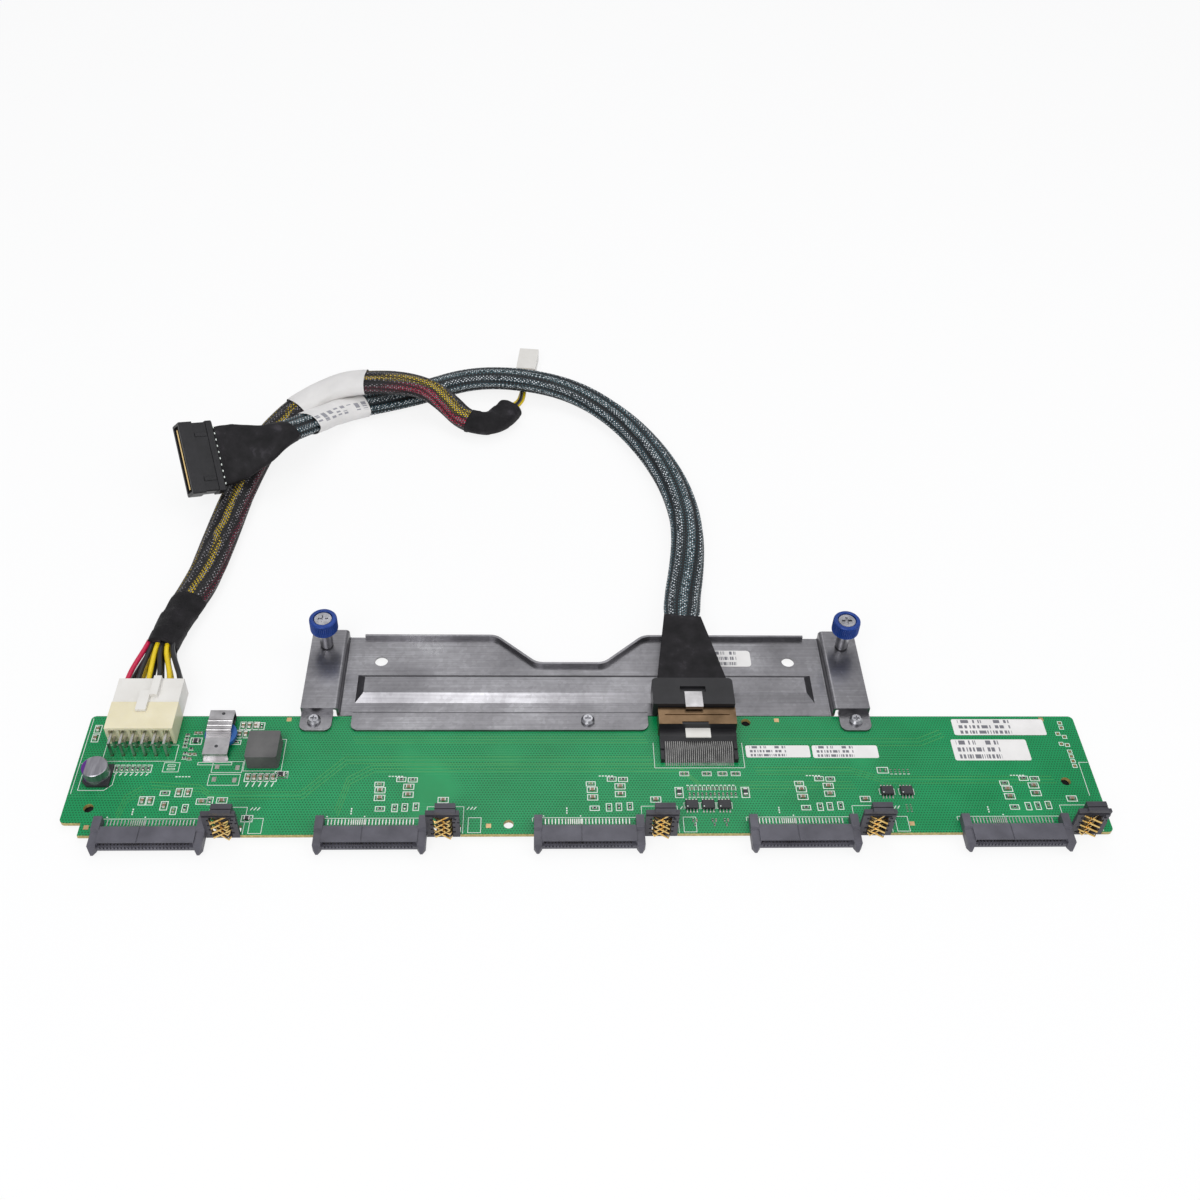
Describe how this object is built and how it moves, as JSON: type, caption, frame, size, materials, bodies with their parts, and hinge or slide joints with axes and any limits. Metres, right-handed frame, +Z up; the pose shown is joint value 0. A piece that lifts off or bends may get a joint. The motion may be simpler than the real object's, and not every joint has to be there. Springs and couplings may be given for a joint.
{
  "type": "drive backplane board",
  "caption": "Long circuit board with drive sockets and carrier contacts on its front edge, plugged-in power and data leads, and a folded bracket with captive thumbscrews at the back.",
  "frame": {"origin": "middle of the board in X, middle of the board and bracket in Y, on the surface that the pins and screw ends rest on", "axes": "+X along the board to the right seen from the drive side, +Y from the drive sockets to the bracket, +Z up out of the component side"},
  "size_m": [0.397, 0.3196, 0.0381],
  "materials": {
    "black_plastic": "fine matt",
    "blue_ceramic": "satin",
    "blue_plastic": "satin",
    "braided_sleeve": "braided filament",
    "can_aluminium": "satin",
    "circuit_board": "satin green solder mask on glass fibre board",
    "cloth_tape": "matt woven tape",
    "contact_gold": "gold plated",
    "ferrite": "matt",
    "galvanised_steel": "zinc plated",
    "ivory_plastic": "satin",
    "package_epoxy": "matt",
    "resistor_body": "satin",
    "screw_steel": "zinc plated",
    "shell_steel": "warm nickel",
    "soft_black": "dull",
    "tan_ceramic": "satin",
    "tinned_pins": "bright tin",
    "white_plastic": "satin",
    "wire_insulation": "satin"
  },
  "bodies": {
    "board": {"backplane_board": "circuit_board", "bracket": "galvanised_steel", "bracket_screws": "screw_steel", "bulk_capacitor_base": "black_plastic", "bulk_capacitor_can": "can_aluminium", "carrier_contact_block_1": "black_plastic", "carrier_contact_block_2": "black_plastic", "carrier_contact_block_3": "black_plastic", "carrier_contact_block_4": "black_plastic", "carrier_contact_block_5": "black_plastic", "carrier_spring_contacts_1": "contact_gold", "carrier_spring_contacts_2": "contact_gold", "carrier_spring_contacts_3": "contact_gold", "carrier_spring_contacts_4": "contact_gold", "carrier_spring_contacts_5": "contact_gold", "chip_capacitors": "tan_ceramic", "chip_resistors": "resistor_body", "choke": "ferrite", "data_end_boot": "soft_black", "data_end_card": "contact_gold", "data_end_plug": "black_plastic", "data_header": "black_plastic", "data_header_contacts": "tinned_pins", "data_header_pick_up_pad": "white_plastic", "data_header_shell": "shell_steel", "data_lead_sleeve": "braided_sleeve", "data_plug": "black_plastic", "data_plug_boot": "soft_black", "data_plug_latch": "shell_steel", "drive_socket_1": "black_plastic", "drive_socket_2": "black_plastic", "drive_socket_3": "black_plastic", "drive_socket_4": "black_plastic", "drive_socket_5": "black_plastic", "drive_socket_contacts_1": "contact_gold", "drive_socket_contacts_2": "contact_gold", "drive_socket_contacts_3": "contact_gold", "drive_socket_contacts_4": "contact_gold", "drive_socket_contacts_5": "contact_gold", "fuse_back_strap": "tinned_pins", "fuse_core": "blue_ceramic", "fuse_front_strap": "tinned_pins", "integrated_circuits": "package_epoxy", "left_thumbscrew_ferrule": "screw_steel", "power_end_plug": "white_plastic", "power_end_wires": "wire_insulation", "power_end_wrap": "cloth_tape", "power_header": "ivory_plastic", "power_header_pins": "tinned_pins", "power_lead_sleeve": "braided_sleeve", "power_lead_wrap": "cloth_tape", "power_plug": "white_plastic", "power_wires": "wire_insulation", "right_thumbscrew_ferrule": "screw_steel"},
    "left_spring": {"left_thumbscrew_spring": "screw_steel"},
    "left_knob": {"left_thumbscrew_knob": "blue_plastic", "left_thumbscrew_screw": "screw_steel"},
    "right_spring": {"right_thumbscrew_spring": "screw_steel"},
    "right_knob": {"right_thumbscrew_knob": "blue_plastic", "right_thumbscrew_screw": "screw_steel"}
  },
  "joints": [
    {"name": "left_thumbscrew_push", "type": "slide", "parent": "board", "child": "left_spring", "axis": [0, 0, -1], "range_m": [0, 0.0024], "stiffness_N_per_m": 400, "springref_m": -0.004, "deforming": ["left_thumbscrew_spring"]},
    {"name": "left_thumbscrew_turn", "type": "hinge", "parent": "left_spring", "child": "left_knob", "pos_m": [-0.1094, 0.046, 0.0168], "axis": [0, 0, 1], "continuous": true},
    {"name": "right_thumbscrew_push", "type": "slide", "parent": "board", "child": "right_spring", "axis": [0, 0, -1], "range_m": [0, 0.0024], "stiffness_N_per_m": 400, "springref_m": -0.004, "deforming": ["right_thumbscrew_spring"]},
    {"name": "right_thumbscrew_turn", "type": "hinge", "parent": "right_spring", "child": "right_knob", "pos_m": [0.1075, 0.046, 0.0168], "axis": [0, 0, 1], "continuous": true}
  ]
}
